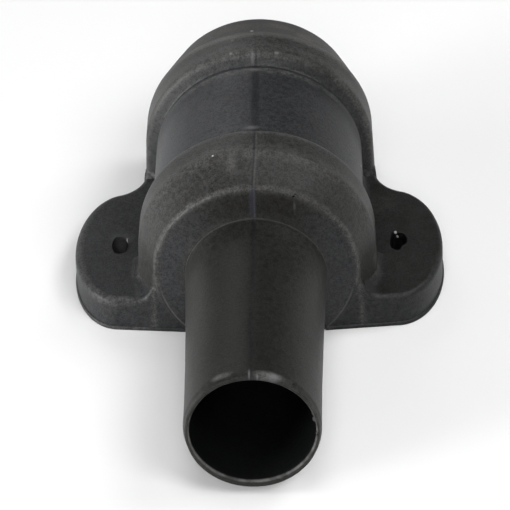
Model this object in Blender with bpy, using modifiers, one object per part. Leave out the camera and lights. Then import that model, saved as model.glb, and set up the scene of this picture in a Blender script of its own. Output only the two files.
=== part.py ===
"""Downpipe coupler in the cast-iron style: one thin-walled plastic moulding, lying on its flat back.

A spigot enters the pipe below and a beaded socket takes the pipe above. The socket's sides run down
to the flat back, and a thick ear with a drilled slot blends into it on each side. X runs across the
ears, Y along the pipe from the spigot's mouth to the socket's mouth, and Z away from the wall. Lengths
are in metres, and stations along the pipe are measured from the tip of the spigot.
"""

import math

import bmesh
import bpy
from mathutils import Matrix, Vector

# Walls of the moulding
SOCKET_WALL = 0.0035
SPIGOT_WALL = 0.003

# Spigot: it flares gently to its root in the shoulder, and its mouth is trimmed at a slant
SPIGOT_LENGTH = 0.119
MOUTH_RADIUS = 0.0315
MOUTH_SLANT = math.radians(4)
MOUTH_BEVEL_LENGTH = 0.003
MOUTH_BEVEL_DEPTH = 0.0009
BORE_CHAMFER = 0.001
BORE_FLATNESS = 0.96
SPIGOT_FLARE = 0.0029
ROOT_RADIUS = MOUTH_RADIUS + SPIGOT_FLARE

# Height of the pipe's axis: the spigot's root just clears the plane of the back
ROOT_CLEARANCE = 0.0006
AXIS_HEIGHT = ROOT_RADIUS + ROOT_CLEARANCE

# Socket: shoulder, cone, two equal beads with the barrel between them, and the lip
SHOULDER_SETBACK = 0.0035
CONE_LENGTH = 0.020
BEAD_LENGTH = 0.0175
BEAD_FLANK = 0.003
GROOVE_WIDTH = 0.003
BARREL_LENGTH = 0.0575
LIP_LENGTH = 0.0285

# Radii of the socket, each a named step from the barrel's
BARREL_RADIUS = 0.0522
BEAD_HEIGHT = 0.0058
GROOVE_DEPTH = 0.0011
SHOULDER_STEP = 0.003
LIP_STEP = 0.0039
BEAD_RADIUS = BARREL_RADIUS + BEAD_HEIGHT
GROOVE_RADIUS = BARREL_RADIUS - GROOVE_DEPTH
SHOULDER_RADIUS = BARREL_RADIUS - SHOULDER_STEP
LIP_RADIUS = BARREL_RADIUS - LIP_STEP

# Roundings of the turned outline
SHOULDER_ROUND = 0.0012
CREST_ROUND = 0.003
RIDGE_ROUND = 0.0035
GROOVE_ROUND = 0.0009

# Stations along the pipe, from the tip of the slanted mouth to the socket's mouth
MOUTH_STATION = (MOUTH_RADIUS - MOUTH_BEVEL_DEPTH) * math.sin(MOUTH_SLANT)
SHOULDER_STATION = SPIGOT_LENGTH + SHOULDER_SETBACK
NEAR_BEAD_STATION = SHOULDER_STATION + CONE_LENGTH
BARREL_STATION = NEAR_BEAD_STATION + BEAD_LENGTH + BEAD_FLANK + GROOVE_WIDTH
FAR_BEAD_STATION = BARREL_STATION + BARREL_LENGTH + GROOVE_WIDTH + BEAD_FLANK
OVERALL_LENGTH = FAR_BEAD_STATION + BEAD_LENGTH + LIP_LENGTH

# Ears: half ellipses in plan, with a straight near wall and a hollow sweep that ends at the far bead
EAR_HEIGHT = 0.018
EAR_OFFSET = 0.0158
EAR_HALF_WIDTH = 0.0236
EAR_NEAR_SETBACK = 0.0025
EAR_FAR_SETBACK = 0.0036
EAR_EDGE_ROUND = 0.003
SWEEP_RADIUS = 0.0105
EAR_CENTRE_X = BARREL_RADIUS + EAR_OFFSET
EAR_NEAR_STATION = SHOULDER_STATION + EAR_NEAR_SETBACK
EAR_FAR_STATION = FAR_BEAD_STATION - EAR_FAR_SETBACK - SWEEP_RADIUS
EAR_HALF_LENGTH = (EAR_FAR_STATION - EAR_NEAR_STATION) / 2
EAR_CENTRE_STATION = EAR_NEAR_STATION + EAR_HALF_LENGTH

# Ends of an ear and of its spine, the line inside the socket at which its sections meet
NEAR_WALL_DEPTH = 0.0162
NEAR_WALL_LEAD = 0.0005
SWEEP_DEPTH = 0.0025
SWEEP_GAP = 0.0002
SPINE_DEPTH = 0.0052
SPINE_SETBACK = 0.0045
SPINE_GAP = 0.002
NEAR_WALL_START = Vector((SHOULDER_RADIUS - NEAR_WALL_DEPTH, SHOULDER_STATION - NEAR_WALL_LEAD))
SWEEP_END = Vector((BEAD_RADIUS - SWEEP_DEPTH, FAR_BEAD_STATION - SWEEP_GAP))
SPINE_START = Vector((NEAR_WALL_START.x, SHOULDER_STATION + SPINE_SETBACK))
SPINE_END = Vector((BARREL_RADIUS - SPINE_DEPTH, FAR_BEAD_STATION - SPINE_GAP))

# Hollow blend between an ear's top and the socket's side, widest at the near wall
BLEND_RADIUS = 0.004
NEAR_BLEND_RADIUS = 0.013
NEAR_BLEND_LENGTH = 0.018

# Flange round the foot of the back, and the drilled slots
FLANGE_HEIGHT = 0.0019
FLANGE_OVERHANG = 0.0006
SLOT_OFFSET = 0.001
SLOT_X = EAR_CENTRE_X + SLOT_OFFSET
SLOT_WIDTH = 0.0076
SLOT_LENGTH = 0.0142

# Fineness of the mesh, and how far a cutter passes a face
TURN_STEPS = 64
ARC_STEP = math.radians(24)
SHARP_ANGLE = math.radians(31)
SPIGOT_RINGS = 5
NEAR_WALL_ROWS = 6
EAR_ROWS = 18
SWEEP_ROWS = 6
SLOT_ARC_STEPS = 8
EDGE_STEPS = 3
BLEND_GAPS = (1.0, 0.6, 0.3, 0.08, -0.3)
LEAST_SHARE = 0.02
OVERRUN = 0.004
STAGGER = 0.001
MERGE_DISTANCE = 0.00005
JOIN_INSET = 0.00003

PLASTIC_COLOUR = (0.026, 0.027, 0.029, 1.0)
PLASTIC_ROUGHNESS = 0.62


def clear_scene():
    for item in list(bpy.data.objects):
        bpy.data.objects.remove(item, do_unlink=True)


def new_collection(name):
    collection = bpy.data.collections.new(name)
    bpy.context.scene.collection.children.link(collection)
    return collection


def add_object(name, bm, collection):
    mesh = bpy.data.meshes.new(name)
    bm.to_mesh(mesh)
    bm.free()
    item = bpy.data.objects.new(name, mesh)
    collection.objects.link(item)
    return item


def add_helper(name, bm, collection):
    """Object that only cuts or joins another one."""
    bmesh.ops.recalc_face_normals(bm, faces=bm.faces)
    item = add_object(name, bm, collection)
    item.hide_render = True
    item.display_type = "WIRE"
    return item


def add_boolean(item, operation, others):
    """Joins every object of a collection to the item, or cuts them from it, in one step."""
    modifier = item.modifiers.new(f"{operation.lower()} {others.name}", "BOOLEAN")
    modifier.operation = operation
    modifier.solver = "EXACT"
    modifier.operand_type = "COLLECTION"
    modifier.collection = others


def along(station):
    """Y of a station: the frame's origin lies under the middle of the whole length."""
    return station - OVERALL_LENGTH / 2


def corner_arc(before, corner, after, rounding):
    """Points of the arc that rounds one corner of an outline."""
    to_before = (before - corner).normalized()
    to_after = (after - corner).normalized()
    half = to_before.angle(to_after) / 2
    centre = corner + (to_before + to_after).normalized() * rounding / math.sin(half)
    spoke = corner + to_before * rounding / math.tan(half) - centre
    turn = math.pi - 2 * half
    steps = max(1, round(turn / ARC_STEP))
    if to_before.cross(to_after) > 0:
        turn = -turn
    return [centre + Matrix.Rotation(turn * k / steps, 2) @ spoke for k in range(steps + 1)]


def rounded(corners):
    """Outline through corners given as (station, radius, rounding)."""
    places = [Vector(corner[:2]) for corner in corners]
    outline = [places[0]]
    for index in range(1, len(corners) - 1):
        outline += corner_arc(*places[index - 1 : index + 2], corners[index][2])
    return outline + [places[-1]]


def inset(corners, distance):
    """The corners moved towards the pipe's axis, so that the wall between is one thickness."""
    places = [Vector(corner[:2]) for corner in corners]
    runs = [(after - before).normalized() for before, after in zip(places, places[1:])]
    normals = [Vector((run.y, -run.x)) for run in runs]
    moved = [places[0] + normals[0] * distance]
    for place, first, second in zip(places[1:-1], normals, normals[1:]):
        bisector = (first + second).normalized()
        moved.append(place + bisector * distance / bisector.dot(first))
    moved.append(places[-1] + normals[-1] * distance)
    return [(place.x, place.y, corner[2]) for place, corner in zip(moved, corners)]


def spigot_outline(offset):
    """Spigot's outline from its mouth to its root, a distance inside its outer face."""
    flare = ROOT_RADIUS - MOUTH_RADIUS
    shares = [k / SPIGOT_RINGS for k in range(SPIGOT_RINGS + 1)]
    return [Vector((SPIGOT_LENGTH * k, MOUTH_RADIUS + flare * k * k - offset)) for k in shares]


def socket_corners():
    """Outer corners of the socket, from the spigot's root to the socket's mouth."""
    return [
        (SPIGOT_LENGTH, ROOT_RADIUS, 0),
        (SHOULDER_STATION, SHOULDER_RADIUS, SHOULDER_ROUND),
        (NEAR_BEAD_STATION, BEAD_RADIUS, CREST_ROUND),
        (NEAR_BEAD_STATION + BEAD_LENGTH, BEAD_RADIUS, RIDGE_ROUND),
        (BARREL_STATION - GROOVE_WIDTH, GROOVE_RADIUS, GROOVE_ROUND),
        (BARREL_STATION, BARREL_RADIUS, GROOVE_ROUND),
        (BARREL_STATION + BARREL_LENGTH, BARREL_RADIUS, GROOVE_ROUND),
        (FAR_BEAD_STATION - BEAD_FLANK, GROOVE_RADIUS, GROOVE_ROUND),
        (FAR_BEAD_STATION, BEAD_RADIUS, RIDGE_ROUND),
        (FAR_BEAD_STATION + BEAD_LENGTH, BEAD_RADIUS, CREST_ROUND),
        (OVERALL_LENGTH, LIP_RADIUS, 0),
    ]


def radius_at(outline, station):
    """Radius of an outline at a station, between its nearest two points."""
    for before, after in zip(outline, outline[1:]):
        if before.x <= station <= after.x:
            share = (station - before.x) / max(after.x - before.x, MERGE_DISTANCE)
            return before.y + (after.y - before.y) * share
    return outline[-1].y


def turned(name, outline, collection, start=0.0):
    """Solid of revolution about the pipe's axis, from an outline that starts and ends on the axis.

    The outline's stations are counted from start, which is where the object's own origin lies.
    """
    bm = bmesh.new()
    verts = [bm.verts.new((point.y, point.x, 0)) for point in outline]
    for first, second in zip(verts, verts[1:]):
        bm.edges.new((first, second))
    item = add_object(name, bm, collection)
    item.location = (0, along(start), AXIS_HEIGHT)
    screw = item.modifiers.new("turn", "SCREW")
    screw.axis = "Y"
    screw.steps = TURN_STEPS
    screw.render_steps = TURN_STEPS
    screw.use_merge_vertices = True
    screw.merge_threshold = MERGE_DISTANCE
    screw.use_normal_flip = True
    return item


def turned_helper(name, outline, collection, start=0.0):
    item = turned(name, outline, collection, start)
    item.hide_render = True
    item.display_type = "WIRE"
    return item


def to_axis(outline):
    """The outline closed onto the axis at both ends."""
    return [Vector((outline[0].x, 0)), *outline, Vector((outline[-1].x, 0))]


def lofted(name, rows, collection):
    """Closed solid through rows of equally many points, each row a loop, with flat ends."""
    bm = bmesh.new()
    rings = [[bm.verts.new(point) for point in row] for row in rows]
    count = len(rows[0])
    for first, second in zip(rings, rings[1:]):
        for k in range(count):
            after = (k + 1) % count
            bm.faces.new((first[k], first[after], second[after], second[k]))
    bm.faces.new(rings[0])
    bm.faces.new(rings[-1])
    return add_helper(name, bm, collection)


def plan_row(outline, widening, height):
    """Loop at one height round both sides of the socket's plan."""
    right = [Vector((point.y + widening, along(point.x), height)) for point in outline]
    left = [Vector((-point.x, point.y, point.z)) for point in reversed(right)]
    return right + left


def socket_sides(name, outline, bottom, top, overhang, collection):
    """Lower half of the socket: its plan carried down along the slope of the lowest facet above."""
    slope = math.tan(math.pi / TURN_STEPS)
    outset = overhang - JOIN_INSET
    rows = [plan_row(outline, outset + slope * (AXIS_HEIGHT - z), z) for z in (bottom, top)]
    return lofted(name, rows, collection)


def block(name, low, high, collection):
    bm = bmesh.new()
    bmesh.ops.create_cube(bm, size=1)
    for vert in bm.verts:
        vert.co = [low[k] if vert.co[k] < 0 else high[k] for k in range(3)]
    return add_helper(name, bm, collection)


def ear_outline():
    """Plan of one ear: near wall, half ellipse, hollow sweep and an end inside the far bead."""
    near_end = Vector((EAR_CENTRE_X, EAR_CENTRE_STATION - EAR_HALF_LENGTH))
    shares = [k / NEAR_WALL_ROWS for k in range(NEAR_WALL_ROWS)]
    outline = [NEAR_WALL_START.lerp(near_end, share) for share in shares]
    for k in range(EAR_ROWS + 1):
        angle = math.pi * (k / EAR_ROWS - 0.5)
        x = EAR_CENTRE_X + EAR_HALF_WIDTH * math.cos(angle)
        outline.append(Vector((x, EAR_CENTRE_STATION + EAR_HALF_LENGTH * math.sin(angle))))
    sweep_station = outline[-1].y + SWEEP_RADIUS
    for k in range(1, SWEEP_ROWS + 1):
        angle = math.pi / 2 * k / SWEEP_ROWS
        x = EAR_CENTRE_X - SWEEP_RADIUS * math.sin(angle)
        outline.append(Vector((x, sweep_station - SWEEP_RADIUS * math.cos(angle))))
    return outline + [SWEEP_END]


def outward(outline):
    """Unit vectors that point out of the ear at each point of its plan."""
    padded = [outline[0], *outline, outline[-1]]
    runs = [(after - before).normalized() for before, after in zip(padded, padded[2:])]
    return [Vector((run.y, -run.x)) for run in runs]


def blend_radius(station):
    share = min(max((station - NEAR_WALL_START.y) / NEAR_BLEND_LENGTH, 0), 1)
    return NEAR_BLEND_RADIUS + (BLEND_RADIUS - NEAR_BLEND_RADIUS) * share * (2 - share)


def ear_top(place, outline):
    """Height of the ear's top, which climbs in a hollow blend beside the socket."""
    blend = blend_radius(place.y)
    gap = min(max(place.x - radius_at(outline, place.y), 0), blend)
    return EAR_HEIGHT + blend - math.sqrt(gap * (2 * blend - gap))


def crossing(start, end, outline, gap):
    """Share of the way from start to end at which a place stands this far off the socket."""
    low, high = 0.0, 1.0
    for _ in range(24):
        middle = (low + high) / 2
        place = start.lerp(end, middle)
        if place.x - radius_at(outline, place.y) > gap:
            low = middle
        else:
            high = middle
    return low


def ear_row(place, out, spine, outline):
    """Closed section of the ear, from the flange up its wall and across its top to the spine."""
    edge = place - out * EAR_EDGE_ROUND
    edge_top = ear_top(edge, outline)
    flange = place + out * FLANGE_OVERHANG
    bottom = -OVERRUN - STAGGER
    row = [(spine, bottom), (flange, bottom), (flange, FLANGE_HEIGHT - FLANGE_OVERHANG)]
    row.append((place, FLANGE_HEIGHT))
    for angle in (math.radians(90 * k / EDGE_STEPS) for k in range(EDGE_STEPS + 1)):
        spot = edge + out * EAR_EDGE_ROUND * math.cos(angle)
        row.append((spot, edge_top - EAR_EDGE_ROUND * (1 - math.sin(angle))))
    shares = [0.0]
    for gap_share in BLEND_GAPS:
        gap = gap_share * blend_radius(place.y)
        shares.append(max(crossing(edge, spine, outline, gap), shares[-1] + LEAST_SHARE))
    spots = [edge.lerp(spine, min(share, 1 - LEAST_SHARE)) for share in shares[1:]]
    row += [(spot, ear_top(spot, outline)) for spot in spots]
    row.append((spine, ear_top(spine, outline)))
    return [Vector((spot.x, along(spot.y), height)) for spot, height in row]


def ear(name, outline, side, collection):
    """Solid ear on the side +1 or -1, lofted from the near wall round to the far bead."""
    plan = ear_outline()
    rows = []
    for index, (place, out) in enumerate(zip(plan, outward(plan))):
        spine = SPINE_START.lerp(SPINE_END, index / (len(plan) - 1))
        rows.append(ear_row(place, out, spine, outline))
    mirrored = [[Vector((side * point.x, point.y, point.z)) for point in row] for row in rows]
    return lofted(name, mirrored, collection)


def slot(name, side, collection):
    """Cutter of a drilled slot, long along the pipe."""
    reach = (SLOT_LENGTH - SLOT_WIDTH) / 2
    loop = []
    for end in (1, -1):
        for k in range(SLOT_ARC_STEPS + 1):
            angle = math.pi * k / SLOT_ARC_STEPS
            x = SLOT_WIDTH / 2 * math.cos(angle) * end
            loop.append((x, (reach + SLOT_WIDTH / 2 * math.sin(angle)) * end))
    middle = Vector((side * SLOT_X, along(EAR_CENTRE_STATION)))
    heights = (-OVERRUN, EAR_HEIGHT + OVERRUN)
    rows = [[Vector((middle.x + x, middle.y + y, z)) for x, y in loop] for z in heights]
    return lofted(name, rows, collection)


def mouth_trim(collection):
    """Cutter of the spigot's slanted end, with a bevel round its outer edge."""
    reach = MOUTH_BEVEL_DEPTH + OVERRUN
    outer = MOUTH_RADIUS + OVERRUN
    outline = [
        Vector((-3 * OVERRUN, outer)),
        Vector((MOUTH_BEVEL_LENGTH * reach / MOUTH_BEVEL_DEPTH, outer)),
        Vector((0, MOUTH_RADIUS - MOUTH_BEVEL_DEPTH)),
    ]
    trim = turned_helper("mouth_trim", to_axis(outline), collection, MOUTH_STATION)
    trim.rotation_euler.x = -MOUTH_SLANT


def bore_chamfer(collection):
    """Cutter that breaks the inner edge of the slanted end."""
    radius = MOUTH_RADIUS - SPIGOT_WALL
    outline = [
        Vector((-OVERRUN, radius + BORE_CHAMFER + OVERRUN)),
        Vector((BORE_CHAMFER, radius)),
    ]
    chamfer = turned_helper("bore_chamfer", to_axis(outline), collection, MOUTH_STATION)
    chamfer.rotation_euler.x = -MOUTH_SLANT
    chamfer.scale.z = BORE_FLATNESS


def spigot_bore(collection):
    """Hollow of the spigot, a little less high than wide."""
    wall = spigot_outline(SPIGOT_WALL)
    before = Vector((-OVERRUN, wall[0].y))
    beyond = Vector((SHOULDER_STATION + SOCKET_WALL, wall[-1].y))
    bore = turned_helper("spigot_bore", to_axis([before, *wall, beyond]), collection)
    bore.scale.z = BORE_FLATNESS


def socket_bore(collection):
    """Hollow of the socket: the outer form one wall thickness in, down to the floor of the back."""
    floors = new_collection("bore_floor")
    lower_half = new_collection("bore_lower_half")
    inner = rounded(inset(socket_corners(), SOCKET_WALL))
    inner.append(Vector((OVERALL_LENGTH + OVERRUN, inner[-1].y)))
    bore = turned_helper("socket_bore", to_axis(inner), collection)
    reach = BEAD_RADIUS + OVERRUN
    far = along(OVERALL_LENGTH) + 2 * OVERRUN
    low = (-reach, -far, AXIS_HEIGHT - reach - OVERRUN)
    block("below_floor", low, (reach, far, SOCKET_WALL), floors)
    add_boolean(bore, "DIFFERENCE", floors)
    sides = [point for point in inner if point.x > SHOULDER_STATION + SOCKET_WALL]
    socket_sides("socket_bore_sides", sides, SOCKET_WALL, AXIS_HEIGHT, 0, lower_half)
    add_boolean(bore, "UNION", lower_half)


def coupler_outline():
    """Outer outline of spigot and socket together, closed onto the axis."""
    uncut = Vector((-OVERRUN, MOUTH_RADIUS))
    return to_axis([uncut, *spigot_outline(0)[:-1], *rounded(socket_corners())])


def smooth_shaded(item):
    """Shades the finished shape smooth, apart from edges sharper than SHARP_ANGLE."""
    group = bpy.data.node_groups.new("smooth_between_sharp_edges", "GeometryNodeTree")
    group.interface.new_socket("Mesh", in_out="INPUT", socket_type="NodeSocketGeometry")
    group.interface.new_socket("Mesh", in_out="OUTPUT", socket_type="NodeSocketGeometry")
    start, angle, gentle, faces, edges, end = [
        group.nodes.new(kind)
        for kind in (
            "NodeGroupInput",
            "GeometryNodeInputMeshEdgeAngle",
            "FunctionNodeCompare",
            "GeometryNodeSetShadeSmooth",
            "GeometryNodeSetShadeSmooth",
            "NodeGroupOutput",
        )
    ]
    gentle.operation = "LESS_THAN"
    gentle.inputs["B"].default_value = SHARP_ANGLE
    edges.domain = "EDGE"
    group.links.new(start.outputs["Mesh"], faces.inputs["Geometry"])
    group.links.new(faces.outputs["Geometry"], edges.inputs["Geometry"])
    group.links.new(angle.outputs["Unsigned Angle"], gentle.inputs["A"])
    group.links.new(gentle.outputs["Result"], edges.inputs["Shade Smooth"])
    group.links.new(edges.outputs["Geometry"], end.inputs["Mesh"])
    item.modifiers.new("smooth", "NODES").node_group = group


def plastic():
    material = bpy.data.materials.new("dark_plastic")
    material.use_nodes = True
    surface = material.node_tree.nodes["Principled BSDF"]
    surface.inputs["Base Color"].default_value = PLASTIC_COLOUR
    surface.inputs["Roughness"].default_value = PLASTIC_ROUGHNESS
    surface.inputs["Metallic"].default_value = 0.0
    return material


def build():
    clear_scene()
    parts = new_collection("downpipe_coupler")
    joined = new_collection("joined_shapes")
    cutters = new_collection("cutters")
    socket = rounded(socket_corners())
    sides = [point for point in socket if point.x > SHOULDER_STATION + FLANGE_HEIGHT]
    body = turned("coupler_body", coupler_outline(), parts)
    socket_sides("socket_sides", sides, -OVERRUN, AXIS_HEIGHT, 0, joined)
    foot = STAGGER - OVERRUN
    socket_sides("foot_flange", sides, foot, FLANGE_HEIGHT, FLANGE_OVERHANG, joined)
    ear("left_ear", socket, -1, joined)
    ear("right_ear", socket, 1, joined)
    add_boolean(body, "UNION", joined)
    reach = EAR_CENTRE_X + EAR_HALF_WIDTH + OVERRUN
    far = along(OVERALL_LENGTH) + 2 * OVERRUN
    low = (-reach, -far, AXIS_HEIGHT - BEAD_RADIUS - OVERRUN)
    block("behind_back", low, (reach, far, 0), cutters)
    mouth_trim(cutters)
    spigot_bore(cutters)
    bore_chamfer(cutters)
    socket_bore(cutters)
    slot("left_slot", -1, cutters)
    slot("right_slot", 1, cutters)
    add_boolean(body, "DIFFERENCE", cutters)
    smooth_shaded(body)
    body.data.materials.append(plastic())


build()
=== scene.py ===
"""Looks of the downpipe coupler: a finer mesh of the one moulding, its scuffed plastic, and the studio.

Lengths are in metres in the CAD frame: X across the ears, Y along the pipe, Z up from the flat back.
"""

import math

import bmesh
import bpy
import numpy as np
from mathutils import Euler, Matrix, Vector


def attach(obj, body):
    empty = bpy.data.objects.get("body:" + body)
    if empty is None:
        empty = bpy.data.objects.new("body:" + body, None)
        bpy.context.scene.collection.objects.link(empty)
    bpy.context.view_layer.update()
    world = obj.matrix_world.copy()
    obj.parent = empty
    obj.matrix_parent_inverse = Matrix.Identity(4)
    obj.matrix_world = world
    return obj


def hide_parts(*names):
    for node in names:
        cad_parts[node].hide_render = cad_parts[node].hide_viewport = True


# Sizes of the part, as in the CAD
AXIS_HEIGHT = 0.035
SOCKET_WALL = 0.0035
SPIGOT_WALL = 0.003
SPIGOT_LENGTH = 0.119
MOUTH_RADIUS = 0.0315
MOUTH_SLANT = math.radians(4)
MOUTH_BEVEL_LENGTH = 0.003
MOUTH_BEVEL_DEPTH = 0.0009
MOUTH_STATION = (MOUTH_RADIUS - MOUTH_BEVEL_DEPTH) * math.sin(MOUTH_SLANT)
BORE_CHAMFER = 0.001
BORE_FLATNESS = 0.96
ROOT_RADIUS = 0.0344
SHOULDER_STATION = SPIGOT_LENGTH + 0.0035
SHOULDER_RADIUS = 0.0492
SHOULDER_EDGE_RADIUS = 0.0474
NEAR_BEAD_STATION = SHOULDER_STATION + 0.020
BEAD_LENGTH = 0.0175
BEAD_RADIUS = 0.058
BEAD_FLANK = 0.003
GROOVE_WIDTH = 0.003
GROOVE_RADIUS = 0.0511
BARREL_STATION = NEAR_BEAD_STATION + BEAD_LENGTH + BEAD_FLANK + GROOVE_WIDTH
BARREL_LENGTH = 0.0575
BARREL_RADIUS = 0.0522
FAR_BEAD_STATION = BARREL_STATION + BARREL_LENGTH + GROOVE_WIDTH + BEAD_FLANK
LIP_STATION = FAR_BEAD_STATION + BEAD_LENGTH
OVERALL_LENGTH = LIP_STATION + 0.0285
LIP_RADIUS = 0.0483
SIDE_SLOPE = math.tan(math.pi / 64)
EAR_HEIGHT = 0.018
EAR_CENTRE_X = 0.068
EAR_HALF_WIDTH = 0.0236
EAR_HALF_LENGTH = 0.0452
EAR_CENTRE_STATION = SHOULDER_STATION + 0.0025 + EAR_HALF_LENGTH
EAR_EDGE_ROUND = 0.003
NEAR_WALL_START = Vector((0.033, SHOULDER_STATION - 0.0005))
SWEEP_END = Vector((BEAD_RADIUS + 0.0013, FAR_BEAD_STATION + 0.0034))
SWEEP_TUCK = Vector((BEAD_RADIUS - 0.0007, FAR_BEAD_STATION + 0.012))
SPINE_START = Vector((NEAR_WALL_START.x, SHOULDER_STATION + 0.0045))
SPINE_END = Vector((BARREL_RADIUS - 0.005, FAR_BEAD_STATION + 0.004))
BLEND_RADIUS = 0.004
NEAR_BLEND_RADIUS = 0.013
NEAR_BLEND_LENGTH = 0.018
FLANGE_HEIGHT = 0.0019
FLANGE_OVERHANG = 0.0006
SLOT_X = 0.069
SLOT_WIDTH = 0.0076
SLOT_LENGTH = 0.0142

# Fineness of the mesh
ROW_SPACING = 0.0015
ARC_STEP = math.radians(11)
SIDE_POINTS = 26
FLOOR_POINTS = 30
LOWER_POINTS = 2 * SIDE_POINTS + FLOOR_POINTS

LIGHT_DISTANCE = 3.0


def along(station):
    """Y of a station, which is measured from the spigot's mouth."""
    return station - OVERALL_LENGTH / 2


def station_of(places):
    return places[:, 1] + OVERALL_LENGTH / 2


def smooth_step(low, high, value):
    share = np.clip((value - low) / (high - low), 0, 1)
    return share * share * (3 - 2 * share)


def between(value, rise, full, fade, end):
    """0 outside rise and end, and 1 from full to fade."""
    return smooth_step(rise, full, value) * (1 - smooth_step(fade, end, value))


class Lattice:
    """Smooth noise between -1 and 1, from seeded random values on a lattice."""

    def __init__(self, seed, size=24):
        self.size = size
        self.values = np.random.default_rng(seed).uniform(-1, 1, (size, size, size))

    def __call__(self, places):
        cell = np.floor(places).astype(int)
        share = places - cell
        share = share * share * (3 - 2 * share)
        total = np.zeros(len(places))
        for corner in np.ndindex(2, 2, 2):
            weight = np.prod(np.where(corner, share, 1 - share), axis=1)
            at = (cell + corner) % self.size
            total += weight * self.values[at[:, 0], at[:, 1], at[:, 2]]
        return total


# The turned outline

def corner_arc(before, corner, after, rounding):
    to_before = (before - corner).normalized()
    to_after = (after - corner).normalized()
    half = to_before.angle(to_after) / 2
    centre = corner + (to_before + to_after).normalized() * rounding / math.sin(half)
    spoke = corner + to_before * rounding / math.tan(half) - centre
    turn = math.pi - 2 * half
    steps = max(2, round(turn / ARC_STEP))
    if to_before.cross(to_after) > 0:
        turn = -turn
    return [centre + Matrix.Rotation(turn * k / steps, 2) @ spoke for k in range(steps + 1)]


def rounded(corners):
    places = [Vector(corner[:2]) for corner in corners]
    outline = [places[0]]
    for index in range(1, len(corners) - 1):
        outline += corner_arc(*places[index - 1 : index + 2], corners[index][2])
    return outline + [places[-1]]


def inset(corners, distance):
    places = [Vector(corner[:2]) for corner in corners]
    runs = [(after - before).normalized() for before, after in zip(places, places[1:])]
    normals = [Vector((run.y, -run.x)) for run in runs]
    moved = [places[0] + normals[0] * distance]
    for place, first, second in zip(places[1:-1], normals, normals[1:]):
        bisector = (first + second).normalized()
        moved.append(place + bisector * distance / bisector.dot(first))
    moved.append(places[-1] + normals[-1] * distance)
    return [(place.x, place.y, corner[2]) for place, corner in zip(moved, corners)]


def socket_corners():
    near_crest = NEAR_BEAD_STATION + BEAD_LENGTH
    return [
        (SPIGOT_LENGTH, ROOT_RADIUS, 0),
        (SHOULDER_STATION, SHOULDER_RADIUS, 0.0014),
        (NEAR_BEAD_STATION, BEAD_RADIUS, 0.0045),
        (near_crest, BEAD_RADIUS, 0.0035),
        (near_crest + BEAD_FLANK, GROOVE_RADIUS, 0.0012),
        (BARREL_STATION, BARREL_RADIUS, 0.0009),
        (BARREL_STATION + BARREL_LENGTH, BARREL_RADIUS, 0.0009),
        (FAR_BEAD_STATION - BEAD_FLANK, GROOVE_RADIUS, 0.0012),
        (FAR_BEAD_STATION, BEAD_RADIUS, 0.0035),
        (LIP_STATION, BEAD_RADIUS, 0.0045),
        (OVERALL_LENGTH, LIP_RADIUS, 0),
    ]


def resampled(outline, spacing):
    """The outline with no run longer than the spacing."""
    points = [outline[0]]
    for before, after in zip(outline, outline[1:]):
        steps = max(1, math.ceil((after - before).length / spacing))
        points += [before.lerp(after, k / steps) for k in range(1, steps + 1)]
    return points


def spigot_radius(station):
    return MOUTH_RADIUS + (ROOT_RADIUS - MOUTH_RADIUS) * (station / SPIGOT_LENGTH) ** 2


def radius_at(outline, station):
    for before, after in zip(outline, outline[1:]):
        if before.x <= station <= after.x:
            share = (station - before.x) / max(after.x - before.x, 1e-6)
            return before.y + (after.y - before.y) * share
    return outline[-1].y


# Rings of the shell: over the top from right to left, down the left side, across, and up the right

def upper_angles():
    even = np.linspace(0, math.pi, 129)
    beside_line = np.linspace(-0.055, 0.055, 15) + math.pi / 2
    kept = even[np.abs(even - math.pi / 2) > 0.06]
    return np.sort(np.concatenate([kept, beside_line]))


UPPER = upper_angles()
LOWER = np.linspace(math.pi, 2 * math.pi, LOWER_POINTS + 2)[1:-1]


def round_ring(radius, flatness=1.0, floor=None):
    angles = np.concatenate([UPPER, LOWER])
    x = radius * np.cos(angles)
    z = AXIS_HEIGHT + radius * flatness * np.sin(angles)
    return x, z if floor is None else np.maximum(z, floor)


def side_path(radius, floor, foot):
    """Right side of a socket ring from the axis height down to the floor, as x and z."""
    top = floor + (FLANGE_HEIGHT if foot else 0.0008)
    z = np.linspace(AXIS_HEIGHT, top, SIDE_POINTS - 2)[1:]
    x = radius + SIDE_SLOPE * (AXIS_HEIGHT - z)
    low = radius + SIDE_SLOPE * (AXIS_HEIGHT - floor)
    if foot:
        x = np.append(x, [low + 0.6 * FLANGE_OVERHANG, low + FLANGE_OVERHANG, low + FLANGE_OVERHANG])
        z = np.append(z, [FLANGE_HEIGHT - 0.0002, FLANGE_HEIGHT - FLANGE_OVERHANG, floor])
    else:
        x = np.append(x, [low - 0.0001, low - 0.0004, low - 0.0009])
        z = np.append(z, [floor + 0.0004, floor + 0.0001, floor])
    return x, z


def socket_ring(radius, floor, foot):
    side_x, side_z = side_path(radius, floor, foot)
    across = np.linspace(-side_x[-1], side_x[-1], FLOOR_POINTS + 2)[1:-1]
    x = np.concatenate([radius * np.cos(UPPER), -side_x, across, side_x[::-1]])
    z = np.concatenate([AXIS_HEIGHT + radius * np.sin(UPPER), side_z, across * 0 + floor, side_z[::-1]])
    return x, z


def row_of(ring, station, slant=0.0):
    x, z = ring
    y = along(station) + slant * (z - AXIS_HEIGHT)
    return np.column_stack([x, np.broadcast_to(y, x.shape), z])


def slant_at(station):
    """The mouth's slant dies out along the spigot."""
    return math.tan(MOUTH_SLANT) * float(1 - smooth_step(0.006, 0.04, station))


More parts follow.
